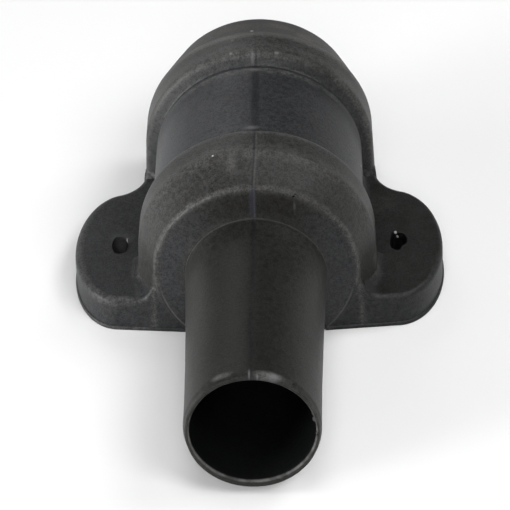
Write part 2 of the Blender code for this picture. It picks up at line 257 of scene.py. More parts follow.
def outer_rows():
    rows = []
    start = MOUTH_STATION + MOUTH_BEVEL_LENGTH
    count = round((SPIGOT_LENGTH - start) / ROW_SPACING)
    for k in range(count):
        station = start + (SPIGOT_LENGTH - start) * k / count
        rows.append(row_of(round_ring(spigot_radius(station)), station, slant_at(station)))
    for point in resampled(rounded(socket_corners()), ROW_SPACING):
        share = float(smooth_step(SHOULDER_STATION, SHOULDER_STATION + FLANGE_HEIGHT, point.x))
        ring = np.array(round_ring(point.y, floor=0.0))
        if share > 0:
            ring = ring * (1 - share) + np.array(socket_ring(point.y, 0.0, True)) * share
        rows.append(row_of(ring, point.x))
    return rows


def rim_rows():
    """The mouth's bevel, its flat end and the broken inner edge, all on the slant."""
    edge = MOUTH_RADIUS - MOUTH_BEVEL_DEPTH
    bore = MOUTH_RADIUS - SPIGOT_WALL
    slant = math.tan(MOUTH_SLANT)
    outer = [(k / 5 * MOUTH_BEVEL_LENGTH, edge + MOUTH_BEVEL_DEPTH * k / 5) for k in (4, 3, 2, 1)]
    outer += [(0.00012, edge + 0.00002), (0, edge - 0.0001)]
    rows = [row_of(round_ring(radius), MOUTH_STATION + reach, slant) for reach, radius in outer]
    inner = [(0, 1.2), (0, 1.02), (0.15, 0.85), (0.5, 0.5), (0.85, 0.15), (1.1, 0)]
    for reach, more in inner:
        ring = round_ring(bore + more * BORE_CHAMFER, BORE_FLATNESS)
        rows.append(row_of(ring, MOUTH_STATION + reach * BORE_CHAMFER, slant))
    return rows


def inner_rows():
    corners = inset(socket_corners(), SOCKET_WALL)
    start = MOUTH_STATION + 2 * BORE_CHAMFER
    end = corners[0][0]
    rows = []
    for k in range(41):
        station = start + (end - start) * k / 40
        ring = round_ring(spigot_radius(station) - SPIGOT_WALL, BORE_FLATNESS)
        rows.append(row_of(ring, station, slant_at(station)))
    for point in resampled(rounded(corners), 3 * ROW_SPACING):
        share = float(
            smooth_step(SHOULDER_STATION + SOCKET_WALL, SHOULDER_STATION + 2 * SOCKET_WALL, point.x)
        )
        ring = np.array(round_ring(point.y, floor=SOCKET_WALL))
        if share > 0:
            ring = ring * (1 - share) + np.array(socket_ring(point.y, SOCKET_WALL, False)) * share
        rows.append(row_of(ring, min(point.x, OVERALL_LENGTH)))
    return rows


def lip_rows():
    """Softened edges of the socket's end face, from its inside to its outside."""
    inner_end = LIP_RADIUS - SOCKET_WALL * 1.06
    rows = []
    for back, more in ((0.0, 0.0006), (0.0, 0.0016)):
        rows.append(row_of(socket_ring(inner_end + more, SOCKET_WALL - more, False), OVERALL_LENGTH - back))
    rows.append(row_of(socket_ring(LIP_RADIUS - 0.0003, 0.0002, True), OVERALL_LENGTH))
    return rows


def mesh_of(rows, closed_rows):
    """bmesh of rows of equally many points, each row a loop. The rows close up, or the ends are capped."""
    bm = bmesh.new()
    rings = [[bm.verts.new(point) for point in row] for row in rows]
    count = len(rows[0])
    pairs = list(zip(rings, rings[1:]))
    if closed_rows:
        pairs.append((rings[-1], rings[0]))
    else:
        bm.faces.new(rings[0])
        bm.faces.new(rings[-1])
    for first, second in pairs:
        for k in range(count):
            after = (k + 1) % count
            bm.faces.new((first[k], first[after], second[after], second[k]))
    bmesh.ops.recalc_face_normals(bm, faces=bm.faces)
    return bm


def object_of(name, bm):
    mesh = bpy.data.meshes.new(name)
    bm.to_mesh(mesh)
    bm.free()
    item = bpy.data.objects.new(name, mesh)
    bpy.context.scene.collection.objects.link(item)
    return item


def shell():
    rows = outer_rows()[::-1] + rim_rows() + inner_rows() + lip_rows()
    return object_of("coupler", mesh_of(rows, True))


# Ears

def sweep(start, end, steps):
    """Concave curve by which an ear's far end runs out along the side of the far bead."""
    first = start + Vector((-0.0065, 0.0020))
    second = end - Vector((0, 0.0084))
    places = []
    for share in np.linspace(0, 1, steps + 1)[1:]:
        rest = 1 - share
        bent = first * 3 * share * rest**2 + second * 3 * share**2 * rest
        places.append(start * rest**3 + bent + end * share**3)
    return places


def ear_outline():
    near_end = Vector((EAR_CENTRE_X, EAR_CENTRE_STATION - EAR_HALF_LENGTH))
    outline = [NEAR_WALL_START.lerp(near_end, k / 22) for k in range(22)]
    for angle in np.radians(np.linspace(-90, 81, 70)):
        x = EAR_CENTRE_X + EAR_HALF_WIDTH * math.cos(angle)
        outline.append(Vector((x, EAR_CENTRE_STATION + EAR_HALF_LENGTH * math.sin(angle))))
    outline += sweep(outline[-1], SWEEP_END, 20)
    return outline + [SWEEP_END.lerp(SWEEP_TUCK, k / 4) for k in range(1, 5)]


def outward(outline):
    padded = [outline[0], *outline, outline[-1]]
    runs = [(after - before).normalized() for before, after in zip(padded, padded[2:])]
    return [Vector((run.y, -run.x)) for run in runs]


def blend_radius(station):
    share = min(max((station - NEAR_WALL_START.y) / NEAR_BLEND_LENGTH, 0), 1)
    return NEAR_BLEND_RADIUS + (BLEND_RADIUS - NEAR_BLEND_RADIUS) * share * (2 - share)


def gap_at(place, outline):
    """Gap from the socket's drafted side, taken at the height where the blend meets it."""
    draft = SIDE_SLOPE * (AXIS_HEIGHT - EAR_HEIGHT - blend_radius(place.y))
    return place.x - radius_at(outline, place.y) - draft


def ear_top(place, outline):
    blend = blend_radius(place.y)
    gap = min(max(gap_at(place, outline), 0), blend)
    return EAR_HEIGHT + blend - math.sqrt(gap * (2 * blend - gap))


def crossing(start, end, outline, gap):
    low, high = 0.0, 1.0
    for _ in range(18):
        middle = (low + high) / 2
        if gap_at(start.lerp(end, middle), outline) > gap:
            low = middle
        else:
            high = middle
    return low


def ear_row(place, out, spine, outline):
    edge = place - out * EAR_EDGE_ROUND
    edge_top = ear_top(edge, outline)
    flange = place + out * FLANGE_OVERHANG
    row = [(spine, 0.0), (flange, 0.0), (flange, FLANGE_HEIGHT - FLANGE_OVERHANG)]
    row.append((place + out * FLANGE_OVERHANG * 0.6, FLANGE_HEIGHT - 0.0002))
    row += [(place, z) for z in np.linspace(FLANGE_HEIGHT, edge_top - EAR_EDGE_ROUND, 10)[:-1]]
    for angle in np.radians(np.linspace(0, 90, 8)):
        spot = edge + out * EAR_EDGE_ROUND * math.cos(angle)
        row.append((spot, edge_top - EAR_EDGE_ROUND * (1 - math.sin(angle))))
    reach = crossing(edge, spine, outline, blend_radius(place.y))
    shares = [reach * k / 12 for k in range(1, 13)]
    for gap_share in (0.8, 0.62, 0.46, 0.32, 0.2, 0.11, 0.05, 0.015, -0.3):
        gap = gap_share * blend_radius(place.y)
        shares.append(max(crossing(edge, spine, outline, gap), shares[-1] + 0.005))
    spots = [edge.lerp(spine, min(share, 0.99)) for share in shares]
    row += [(spot, ear_top(spot, outline)) for spot in spots]
    row.append((spine, ear_top(spine, outline)))
    return [Vector((spot.x, along(spot.y), height)) for spot, height in row]


def ear(name, outline, side):
    plan = ear_outline()
    rows = []
    for index, (place, out) in enumerate(zip(plan, outward(plan))):
        spine = SPINE_START.lerp(SPINE_END, index / (len(plan) - 1))
        row = ear_row(place, out, spine, outline)
        rows.append([Vector((side * point.x, point.y, point.z)) for point in row])
    return object_of(name, mesh_of(rows, False))


def slot_cutter(name, side, ragged, seed):
    """A drilled slot with a torn, slightly wavy edge."""
    wave = np.random.default_rng(seed).normal(0, 1, (5, 2))
    reach = (SLOT_LENGTH - SLOT_WIDTH) / 2
    rows = []
    for z in (-0.004, 0.004, 0.009, 0.013, 0.016, 0.0174, 0.0184, 0.024):
        angles = np.linspace(0, 2 * math.pi, 56, endpoint=False)
        waves = sum(a * np.cos(k * angles + 3 * b + 40 * z) for k, (a, b) in enumerate(wave, 2))
        flare = 0.0002 * float(smooth_step(0.0165, 0.0185, z))
        radius = SLOT_WIDTH / 2 + flare + ragged * waves
        x = side * SLOT_X + radius * np.cos(angles)
        y = along(EAR_CENTRE_STATION) + radius * np.sin(angles) + reach * np.clip(1.5 * np.sin(angles), -1, 1)
        rows.append(np.column_stack([x, y, np.full(len(x), z)]))
    return object_of(name, mesh_of(rows, False))


def applied(item, operation, others):
    """Runs Booleans with the other objects, keeps the result and removes them."""
    for other in others:
        modifier = item.modifiers.new(other.name, "BOOLEAN")
        modifier.operation = operation
        modifier.solver = "EXACT"
        modifier.object = other
    graph = bpy.context.evaluated_depsgraph_get()
    mesh = bpy.data.meshes.new_from_object(item.evaluated_get(graph))
    item.modifiers.clear()
    item.data = mesh
    for other in others:
        bpy.data.objects.remove(other, do_unlink=True)
    return item


def inner_solid():
    """The hollow as a solid, a little too large, which trims the ears where they reach inside the wall."""
    more = 0.001
    places = resampled(rounded(inset(socket_corners(), SOCKET_WALL))[1:], 3 * ROW_SPACING)
    places.append(Vector((OVERALL_LENGTH + 0.01, places[-1].y)))
    rows = [row_of(socket_ring(place.y + more, SOCKET_WALL - more, False), place.x) for place in places]
    return object_of("hollow", mesh_of(rows, False))


def lump(name, centre, size, turn, seed):
    """Small knobbly ellipsoid: a burr where it is joined on, a nick where it is cut away."""
    bm = bmesh.new()
    bmesh.ops.create_icosphere(bm, subdivisions=2, radius=1)
    shape = Matrix.LocRotScale(Vector(centre), Euler((0, turn, 0)), Vector(size))
    random = np.random.default_rng(seed)
    for vert in bm.verts:
        vert.co = shape @ (vert.co * random.uniform(0.8, 1.1))
    return object_of(name, bm)


def on_rim(angle, radius, station):
    """Place on the spigot's slanted end, by its angle from the right."""
    z = radius * math.sin(angle)
    y = along(MOUTH_STATION + station) + math.tan(MOUTH_SLANT) * z
    return Vector((radius * math.cos(angle), y, AXIS_HEIGHT + z))


def knocks():
    """Burrs to join on and nicks to cut away: at the rim of the mouth and the edge of the shoulder."""
    bore = MOUTH_RADIUS - SPIGOT_WALL
    burr_angle, chip_angle, nick_angle = (math.radians(v) for v in (12, -3, 66))
    burrs = [
        lump("burr", on_rim(burr_angle, bore + 0.0004, 0.0012), (0.0014, 0.0012, 0.0022), -burr_angle, 1),
        lump("curl", on_rim(0.32, bore + 0.0004, 0.0014), (0.0009, 0.0011, 0.0013), -0.32, 2),
    ]
    nick = Vector((0.0197, along(SHOULDER_STATION), AXIS_HEIGHT + 0.0450))
    nicks = [
        lump("chip", on_rim(chip_angle, bore + 0.0006, 0), (0.0008, 0.0012, 0.0019), -chip_angle, 3),
        lump("rim_nick", on_rim(0.9, MOUTH_RADIUS - 0.0004, 0.001), (0.0008, 0.0014, 0.0008), -0.9, 4),
        lump("shoulder_nick", nick, (0.0006, 0.0011, 0.0013), nick_angle, 5),
    ]
    return burrs, nicks


def coupler():
    """Shell and both ears as one mesh, with the slots drilled and the knocks put in."""
    outline = rounded(socket_corners())
    ears = []
    for name, side, ragged, seed in (("left", -1, 0.00006, 5), ("right", 1, 0.00034, 9)):
        one = ear(name + "_ear", outline, side)
        applied(one, "DIFFERENCE", [slot_cutter(name + "_slot", side, ragged, seed), inner_solid()])
        ears.append(one)
    burrs, nicks = knocks()
    whole = applied(shell(), "UNION", ears + burrs)
    return applied(whole, "DIFFERENCE", nicks)


# Surface: the unevenness of the moulding, its parting line and its knocks, how worn each point is, and where
# light and shade are painted

def vertex_arrays(mesh):
    places = np.zeros(len(mesh.vertices) * 3)
    normals = np.zeros(len(mesh.vertices) * 3)
    mesh.vertices.foreach_get("co", places)
    mesh.vertices.foreach_get("normal", normals)
    return places.reshape(-1, 3), normals.reshape(-1, 3)


def edge_array(mesh):
    ends = np.zeros(len(mesh.edges) * 2, np.int64)
    mesh.edges.foreach_get("vertices", ends)
    return ends.reshape(-1, 2)


def spread(values, ends, rounds):
    """Each value averaged with its neighbours' a few times."""
    count = np.bincount(ends.ravel(), minlength=len(values))
    for _ in range(rounds):
        total = np.bincount(ends[:, 0], values[ends[:, 1]], len(values))
        total += np.bincount(ends[:, 1], values[ends[:, 0]], len(values))
        values = 0.5 * values + 0.5 * total / count
    return values


def roundness(places, normals, ends):
    """Mean curvature at each point in 1/m, above zero where the surface bulges."""
    run = places[ends[:, 1]] - places[ends[:, 0]]
    length = np.maximum(np.linalg.norm(run, axis=1), 0.0004)
    bend = np.einsum("ij,ij->i", run, normals[ends[:, 1]] - normals[ends[:, 0]]) / length**2
    total = np.bincount(ends.ravel(), np.repeat(bend, 2), len(places))
    return total / np.bincount(ends.ravel(), minlength=len(places))


def line_offset(y):
    """Where the parting line wanders to, across the pipe."""
    return 0.0005 * np.sin(31 * y + 0.6) + 0.0003 * np.sin(83 * y) + 0.00015 * np.sin(211 * y + 1)


def beyond_socket(places):
    """How far each point stands out from the turned outline: above zero on the ears, below in the hollow."""
    station = station_of(places)
    outline = rounded(socket_corners())
    radius = np.interp(station, [point.x for point in outline], [point.y for point in outline])
    radius = np.where(station < SPIGOT_LENGTH, spigot_radius(np.maximum(station, 0)), radius)
    low = AXIS_HEIGHT - places[:, 2]
    drafted = np.abs(places[:, 0]) - SIDE_SLOPE * low
    sided = (low > 0) & (station > SHOULDER_STATION + 0.001)
    return np.where(sided, drafted, np.hypot(places[:, 0], low)) - radius


def outside(places, normals):
    """1 on the outside of the turned forms and the ears, and 0 in the hollow."""
    spoke = places * (1, 0, 1) - (0, 0, AXIS_HEIGHT)
    facing = np.einsum("ij,ij->i", spoke, normals) / np.maximum(np.linalg.norm(spoke, axis=1), 0.001)
    hollow = (facing < -0.2) & (beyond_socket(places) < -0.6 * SPIGOT_WALL)
    return np.where(hollow, 0.0, 1.0)


def seam_masks(places, normals):
    """The moulding's parting line: its wide band, its fine dark edge, and the pale edge beside that."""
    station = station_of(places)
    across = places[:, 0] - line_offset(places[:, 1])
    top = (places[:, 2] > AXIS_HEIGHT + 0.02) & (normals[:, 2] > -0.2)
    on_spigot = 1 - smooth_step(SPIGOT_LENGTH - 0.003, SPIGOT_LENGTH + 0.001, station)
    barrel_end = BARREL_STATION + BARREL_LENGTH
    on_barrel = between(station, BARREL_STATION - 0.004, BARREL_STATION, barrel_end - 0.001, FAR_BEAD_STATION)
    band = np.exp(-np.abs(across / 0.0021) ** 4) * on_barrel + np.exp(-((across / 0.0014) ** 2)) * on_spigot
    fainter = 1 - 0.6 * smooth_step(0.0, 0.004, station - FAR_BEAD_STATION)
    bare = (1 - on_spigot) * (1 - on_barrel) * top * fainter
    edge = np.exp(-(((across + 0.0002) / 0.0004) ** 2)) * bare
    beside = np.exp(-(((across - 0.0007) / 0.0004) ** 2)) * bare
    return band * top, edge, beside


def rim_highlight_mask(places):
    """Painted highlight on the broken inner edge of the mouth, which catches light, more of it lower down."""
    reach = places[:, 1] - along(MOUTH_STATION) - math.tan(MOUTH_SLANT) * (places[:, 2] - AXIS_HEIGHT)
    radius = np.hypot(places[:, 0], (places[:, 2] - AXIS_HEIGHT) / BORE_FLATNESS)
    edge = radius - (MOUTH_RADIUS - SPIGOT_WALL)
    paler_below = 1.6 - 0.9 * smooth_step(0.02, 0.07, places[:, 2])
    return paler_below * (1 - smooth_step(0.0010, 0.0016, reach)) * (1 - smooth_step(0.0007, 0.0012, edge))


def worn_places(places):
    """1 where wear may show: everywhere but round the slots and where the ears run into the socket."""
    across = np.abs(places[:, 0])
    from_slot = np.hypot(across - SLOT_X, 0.7 * (station_of(places) - EAR_CENTRE_STATION))
    below_blend = 1 - smooth_step(EAR_HEIGHT - 0.0002, EAR_HEIGHT + 0.0004, places[:, 2])
    ear = smooth_step(0.006, 0.009, from_slot) * below_blend
    low = (across > BARREL_RADIUS + 0.0015) & (places[:, 2] < EAR_HEIGHT + NEAR_BLEND_RADIUS)
    return np.where(low, ear, 1.0)


def skin_masks(places, normals):
    """Masks of the socket and of the wall beside its shoulder, and how bloomed, cool and dull the skin is;
    how bloomed also holds painted light and painted shade.
    """
    x, z = places[:, 0], places[:, 2]
    station = station_of(places)
    outer = outside(places, normals)
    reach = np.hypot(x, z - AXIS_HEIGHT)
    side = smooth_step(0.3, 1.0, np.abs(x) / reach)
    behind_shoulder = smooth_step(SHOULDER_STATION - 0.0008, SHOULDER_STATION - 0.0001, station)
    low = 1 - smooth_step(EAR_HEIGHT + 0.002, EAR_HEIGHT + 0.012, z)
    near_wall = low * between(station - SHOULDER_STATION, -0.001, -0.0005, 0.0005, 0.001)
    on_ear = smooth_step(0.0002, 0.0014, beyond_socket(places)) * low * (station > SHOULDER_STATION - 0.001)
    past_shoulder = smooth_step(SHOULDER_EDGE_RADIUS, SHOULDER_EDGE_RADIUS + 0.0006, reach)
    on_ear = np.maximum(on_ear, near_wall * past_shoulder)
    ear_top = on_ear * smooth_step(0.5, 0.9, normals[:, 2])
    on_far_bead = smooth_step(-0.004, 0.0, station - FAR_BEAD_STATION)
    on_lip = smooth_step(-0.001, 0.003, station - LIP_STATION)
    on_barrel = smooth_step(-0.004, 0.0, station - BARREL_STATION) * (1 - on_far_bead) * (1 - on_ear)
    on_face = smooth_step(SPIGOT_LENGTH, SPIGOT_LENGTH + 0.001, station) * (1 - behind_shoulder)
    on_face *= 1 - on_ear
    # Painted shade: a darker band on the right part of the far bead's near flank, by the groove
    right_flank_painted_shade = between(station - FAR_BEAD_STATION, -0.0020, -0.0005, 0.0015, 0.0040)
    right_flank_painted_shade *= between(x, 0.0, 0.002, 0.034, 0.044)

    socket = behind_shoulder * (1 - on_ear) * outer
    up_cone = 0.6 + 0.4 * smooth_step(SHOULDER_STATION, NEAR_BEAD_STATION - 0.006, station)
    at_root = smooth_step(SPIGOT_LENGTH - 0.03, SPIGOT_LENGTH, station)
    # Painted shade: the spigot and the shoulder's face are darker near their top and bottom than at their
    # sides; they are paler towards the spigot's root
    spigot = (1 - behind_shoulder) * (1 - on_ear) * (0.08 + 0.38 * side + 0.30 * at_root)
    bloom_and_painted_light = socket * up_cone * (1 + 0.12 * on_barrel + 0.6 * on_far_bead - 1.2 * on_lip)
    bloom_and_painted_light += (0.48 * on_ear + spigot) * outer
    # Painted light and shade: the bloom is made paler on the left of the part and darker on its right
    painted_side_light = 0.2 * behind_shoulder + 0.36 * on_barrel + 0.25 * on_far_bead * (1 - on_ear) + 0.15 * on_ear
    bloom_and_painted_light *= (1 - painted_side_light * x / BEAD_RADIUS) * (1 - 0.6 * right_flank_painted_shade)

    cool_ear = 0.9 * on_ear - 0.6 * ear_top * (x > 0)
    cool = np.maximum(np.maximum(on_barrel, cool_ear), on_face * side)
    return {
        "socket": socket * (1 - near_wall) * (1 - right_flank_painted_shade),
        "shoulder_wall": near_wall * outer,
        "bloom_and_painted_light": bloom_and_painted_light,
        "cool": np.where(outer > 0, cool, 0.65),
        "dull": np.maximum(1.2 * (1 - outer), 0.7 * np.maximum(on_face * (1 - side), on_lip)),
    }


def sculpt(item):
    """Moves points inwards only, which keeps them inside the CAD's box, and stores what the finish needs."""
    mesh = item.data
    places, normals = vertex_arrays(mesh)
    ends = edge_array(mesh)
    wear = spread(roundness(places, normals, ends) * worn_places(places), ends, 4)
    uneven = Lattice(3)(places * 45) + 0.5 * Lattice(4)(places * 110)
    band, edge, beside = seam_masks(places, normals)
    masks = {name: spread(mask, ends, 1) for name, mask in skin_masks(places, normals).items()}
    depth = 0.00012 * (1.5 - uneven) + 0.00003 * band + 0.00003 * edge
    depth *= smooth_step(0.0, 0.002, places[:, 2])
    places -= normals * depth[:, None]
    mesh.vertices.foreach_set("co", places.ravel())
    masks |= {"roundness": wear, "seam_band": band, "seam_edge": edge, "seam_beside": beside}
    masks["rim"] = rim_highlight_mask(places)
    for name, values in masks.items():
        stored = mesh.attributes.new(name, "FLOAT", "POINT")
        stored.data.foreach_set("value", values.astype(np.float32))
    mesh.shade_smooth()
    mesh.set_sharp_from_angle(angle=math.radians(50))
    mesh.update()


# Finish

class Shader:
    """Short calls for building a material's nodes."""

    def __init__(self, name):
        self.material = bpy.data.materials.new(name)
        self.material.use_nodes = True
        self.tree = self.material.node_tree
        self.surface = self.tree.nodes["Principled BSDF"]
        self.place = self.tree.nodes.new("ShaderNodeTexCoord").outputs["Object"]

    def link(self, socket, value):
        if isinstance(value, bpy.types.NodeSocket):
            self.tree.links.new(value, socket)
        elif value is not None:
            socket.default_value = value

    def node(self, kind, inputs=(), **settings):
        """New node with its settings, and its inputs linked or set by name or number."""
        node = self.tree.nodes.new("ShaderNode" + kind)
        for name, value in settings.items():
            setattr(node, name, value)
        for name, value in dict(inputs).items():
            self.link(node.inputs[name], value)
        return node

    def attribute(self, name):
        return self.node("Attribute", attribute_name=name).outputs["Fac"]

    def mapped(self, inputs, kind="POINT"):
        inputs = {"Vector": self.place, **inputs}
        return self.node("Mapping", inputs, vector_type=kind).outputs["Vector"]

    def noise(self, scale, detail=3.0, roughness=0.5, stretch=(1, 1, 1), seed=0.0):
        place = self.mapped({"Scale": stretch, "Location": (seed, 0.7 * seed, 0.3 * seed)})
        inputs = {"Vector": place, "Scale": scale, "Detail": detail, "Roughness": roughness}
        return self.node("TexNoise", inputs).outputs["Fac"]

    def length(self, vector):
        return self.node("VectorMath", {0: vector}, operation="LENGTH").outputs["Value"]

    def math(self, operation, first, second=None):
        return self.node("Math", {0: first, 1: second}, operation=operation).outputs[0]

    def times(self, first, *others):
        for other in others:
            first = self.math("MULTIPLY", first, other)
        return first

    def largest(self, first, *others):
        for other in others:
            first = self.math("MAXIMUM", first, other)
        return first

    def ramp(self, value, low, high, start=0.0, end=1.0):
        inputs = {"Value": value, "From Min": low, "From Max": high, "To Min": start, "To Max": end}
        return self.node("MapRange", inputs, interpolation_type="SMOOTHSTEP").outputs["Result"]

    def mix(self, share, first, second):
        return self.node("Mix", {0: share, 6: first, 7: second}, data_type="RGBA").outputs[2]

    def bump(self, height, distance, strength=1.0, below=None):
        inputs = {"Height": height, "Normal": below, "Distance": distance, "Strength": strength}
        return self.node("Bump", inputs).outputs["Normal"]

    def spots(self, marks, edge=0.5):
        """Strongest of several ellipsoid marks, each a centre, its half sizes and a strength."""
        found = []
        for centre, size, strength in marks:
            away = self.length(self.mapped({"Location": centre, "Scale": size}, "TEXTURE"))
            found.append(self.times(self.ramp(away, 1 - edge, 1 + edge, 1.0, 0.0), strength))
        return self.largest(*found)

    def stripes(self, bands):
        """Strongest of several stripes round the pipe: rise from, rise to, fall from, fall to, strength."""
        y = self.node("SeparateXYZ", {0: self.place}).outputs["Y"]
        found = []
        for rise, full, fade, end, strength in bands:
            up = self.ramp(y, along(rise), along(full), 0.0, strength)
            found.append(self.times(up, self.ramp(y, along(fade), along(end), 1.0, 0.0)))
        return self.largest(*found)

    def ring(self, radius, width):
        """1 at a distance from the pipe's axis, fading to 0 over the width on both sides."""
        from_axis = self.mapped({"Location": (0, 0, AXIS_HEIGHT)}, "TEXTURE")
        flat = self.node("VectorMath", {0: from_axis, 1: (1, 0, 1)}, operation="MULTIPLY").outputs["Vector"]
        gap = self.math("ABSOLUTE", self.math("SUBTRACT", self.length(flat), radius))
        return self.ramp(gap, 0.3 * width, width, 1.0, 0.0)


WARM_DARK, COOL_DARK = (0.0042, 0.0044, 0.0028, 1), (0.0030, 0.0035, 0.0043, 1)
WARM_BLOOM, COOL_BLOOM = (0.0335, 0.0329, 0.0324, 1), (0.0310, 0.0321, 0.0342, 1)
SCUFF_AND_HIGHLIGHT = (0.092, 0.091, 0.088, 1)
BROWN = (0.070, 0.052, 0.043, 1)
SEAM_BAND, SEAM_EDGE = (0.0030, 0.0034, 0.0044, 1), (0.004, 0.004, 0.005, 1)
BLUISH = (0.030, 0.032, 0.050, 1)
# Colour of the painted shade on the shoulder's face
PAINTED_SHADE = (0.004, 0.0035, 0.002, 1)
BLACK = (0.001, 0.001, 0.001, 1)
PALE = (0.16, 0.16, 0.165, 1)
WHITE = (0.60, 0.60, 0.58, 1)

# Small marks, each a centre, its half sizes and a strength: rubbed on the beads, the mouth and the right ear
RUBS = [
    ((-0.0115, 0.0060, 0.0918), (0.0026, 0.0034, 0.0030), 0.35),
    ((-0.0108, -0.0005, 0.0893), (0.0026, 0.0052, 0.0040), 0.5),
    ((0.0085, -0.1320, 0.0652), (0.0062, 0.0018, 0.0030), 0.9),
    ((-0.0134, -0.1303, 0.0633), (0.0046, 0.0014, 0.0030), 0.8),
    ((0.0190, 0.0045, 0.0892), (0.0085, 0.0036, 0.0040), 0.35),
    ((0.0045, 0.0060, 0.0925), (0.0060, 0.0030, 0.0040), 0.25),
    ((0.0620, 0.0640, 0.0190), (0.0060, 0.0090, 0.0050), 0.12),
]
# On the lip
STAINS = [
    ((0.0111, 0.1258, 0.0862), (0.0060, 0.0050, 0.0050), 0.8),
    ((0.0243, 0.1174, 0.0846), (0.0045, 0.0050, 0.0050), 0.9),
    ((-0.0120, 0.1250, 0.0850), (0.0080, 0.0060, 0.0060), 0.4),
]
# On the shoulder's face: a band under the parting line, and painted shade to the right of it
BAND_UNDER_SEAM = [
    ((-0.0005, -0.0168, 0.0775), (0.0016, 0.0040, 0.0090), 0.5),
]
# Painted shade at the top right of the shoulder's face, next to the spigot
FACE_PAINTED_SHADE = [
    ((0.0150, -0.0168, 0.0765), (0.0210, 0.0040, 0.0110), 0.45),
]
# Painted shade inside the right slot
RIGHT_SLOT_PAINTED_SHADE = [
    ((0.0690, 0.0385, 0.0118), (0.0050, 0.0045, 0.0058), 1.0),
]
# Flash along the parting line and the mouth's rim, and painted light on the left slot's far wall
FLASH_AND_PAINTED_LIGHT = [
    ((-0.0017, 0.0906, 0.0900), (0.0008, 0.0026, 0.0032), 0.35),
    ((-0.0004, 0.0841, 0.0872), (0.0026, 0.0012, 0.0020), 0.4),
    ((-0.0015, 0.0326, 0.0872), (0.0030, 0.0013, 0.0020), 0.4),
    ((0.0193, -0.0165, 0.0745), (0.0005, 0.0020, 0.0022), 0.16),
    ((-0.0006, -0.1322, 0.0661), (0.0004, 0.0022, 0.0020), 0.45),
    ((0.0030, -0.1333, 0.0655), (0.0004, 0.0012, 0.0020), 0.4),
    ((0.0105, -0.1324, 0.0641), (0.0026, 0.0013, 0.0020), 0.5),
    # Painted light on the left slot's far wall
    ((-0.0680, 0.0380, 0.0120), (0.0045, 0.0040, 0.0058), 0.35),
    ((0.0113, -0.1368, 0.0095), (0.0014, 0.0008, 0.0006), 0.25),
    ((0.0154, -0.1366, 0.0116), (0.0010, 0.0008, 0.0007), 0.2),
]
# On the beads and the cone, and painted glints on the slots' torn edges
SPECKS_AND_GLINTS = [
    ((-0.0024, 0.1128, 0.0917), (0.0008, 0.0009, 0.0009), 0.5),
    ((-0.0127, 0.0927, 0.0913), (0.0007, 0.0008, 0.0008), 0.10),
    ((0.0105, 0.0923, 0.0915), (0.0012, 0.0008, 0.0009), 0.08),
    ((-0.0122, 0.1045, 0.0917), (0.0007, 0.0009, 0.0009), 0.06),
    ((-0.0195, 0.0052, 0.0896), (0.0005, 0.0006, 0.0005), 0.7),
    ((0.0519, 0.0656, 0.0404), (0.0008, 0.0008, 0.0007), 0.9),
    # Painted glints on the slots' torn edges
    ((-0.0656, 0.0378, 0.0165), (0.0009, 0.0008, 0.0012), 0.7),
    ((0.0682, 0.0402, 0.0172), (0.0007, 0.0006, 0.0007), 1.0),
    ((0.0692, 0.0396, 0.0152), (0.0006, 0.0006, 0.0007), 0.8),
    ((0.0713, 0.0400, 0.0163), (0.0004, 0.0006, 0.0009), 0.5),
]
# Marks with their softness and colour, from the lowest layer to the topmost
MARKS = [
    (BAND_UNDER_SEAM, 0.5, BLUISH),
    (FACE_PAINTED_SHADE, 0.95, PAINTED_SHADE),
    (RIGHT_SLOT_PAINTED_SHADE, 0.5, BLACK),
    (FLASH_AND_PAINTED_LIGHT, 0.9, PALE),
    (SPECKS_AND_GLINTS, 0.5, WHITE),
]


def rubbed_stripes():
    """Stripes of the socket that stand proud and are rubbed pale, by station along the pipe."""
    near, far, shoulder, lip = NEAR_BEAD_STATION, FAR_BEAD_STATION, SHOULDER_STATION, LIP_STATION
    near_end = near + BEAD_LENGTH
    barrel_end = BARREL_STATION + BARREL_LENGTH
    return [
        (shoulder - 0.0005, shoulder + 0.0002, shoulder + 0.0012, shoulder + 0.0032, 1.0),
        (near - 0.0060, near - 0.0010, near + 0.0030, near + 0.0080, 0.5),
        (near_end - 0.0030, near_end - 0.0005, near_end + 0.0002, near_end + 0.0020, 0.2),
        (barrel_end - 0.0055, barrel_end - 0.0028, barrel_end - 0.0002, barrel_end + 0.0006, 0.9),
        (far - 0.0012, far + 0.0010, far + 0.0060, far + 0.0110, 0.6),
        (lip - 0.0046, lip - 0.0024, lip + 0.0002, lip + 0.0014, 1.3),
    ]


def fine_lines():
    """Thin pale lines round the spigot's root and the far bead's crest."""
    root, lip = SPIGOT_LENGTH, LIP_STATION
    return [
        (root - 0.0012, root - 0.0004, root + 0.00005, root + 0.0002, 0.3),
        (lip - 0.0030, lip - 0.0016, lip - 0.0002, lip + 0.0008, 0.5),
    ]


def skin_colour(made, speckle, broad):
    """Dark plastic under a pale bloomed skin, both cooler on the barrel and the ears than elsewhere; how
    bloomed a place is also holds painted light and shade.
    """
    blotchy = made.ramp(broad, 0.25, 0.75, 0.47, 0.69)
    bloom_and_painted_light = made.times(made.attribute("bloom_and_painted_light"), blotchy, made.ramp(speckle, 0.36, 0.64, 0.5, 1.5))
    cool = made.attribute("cool")
    return made.mix(bloom_and_painted_light, made.mix(cool, WARM_DARK, COOL_DARK), made.mix(cool, WARM_BLOOM, COOL_BLOOM))


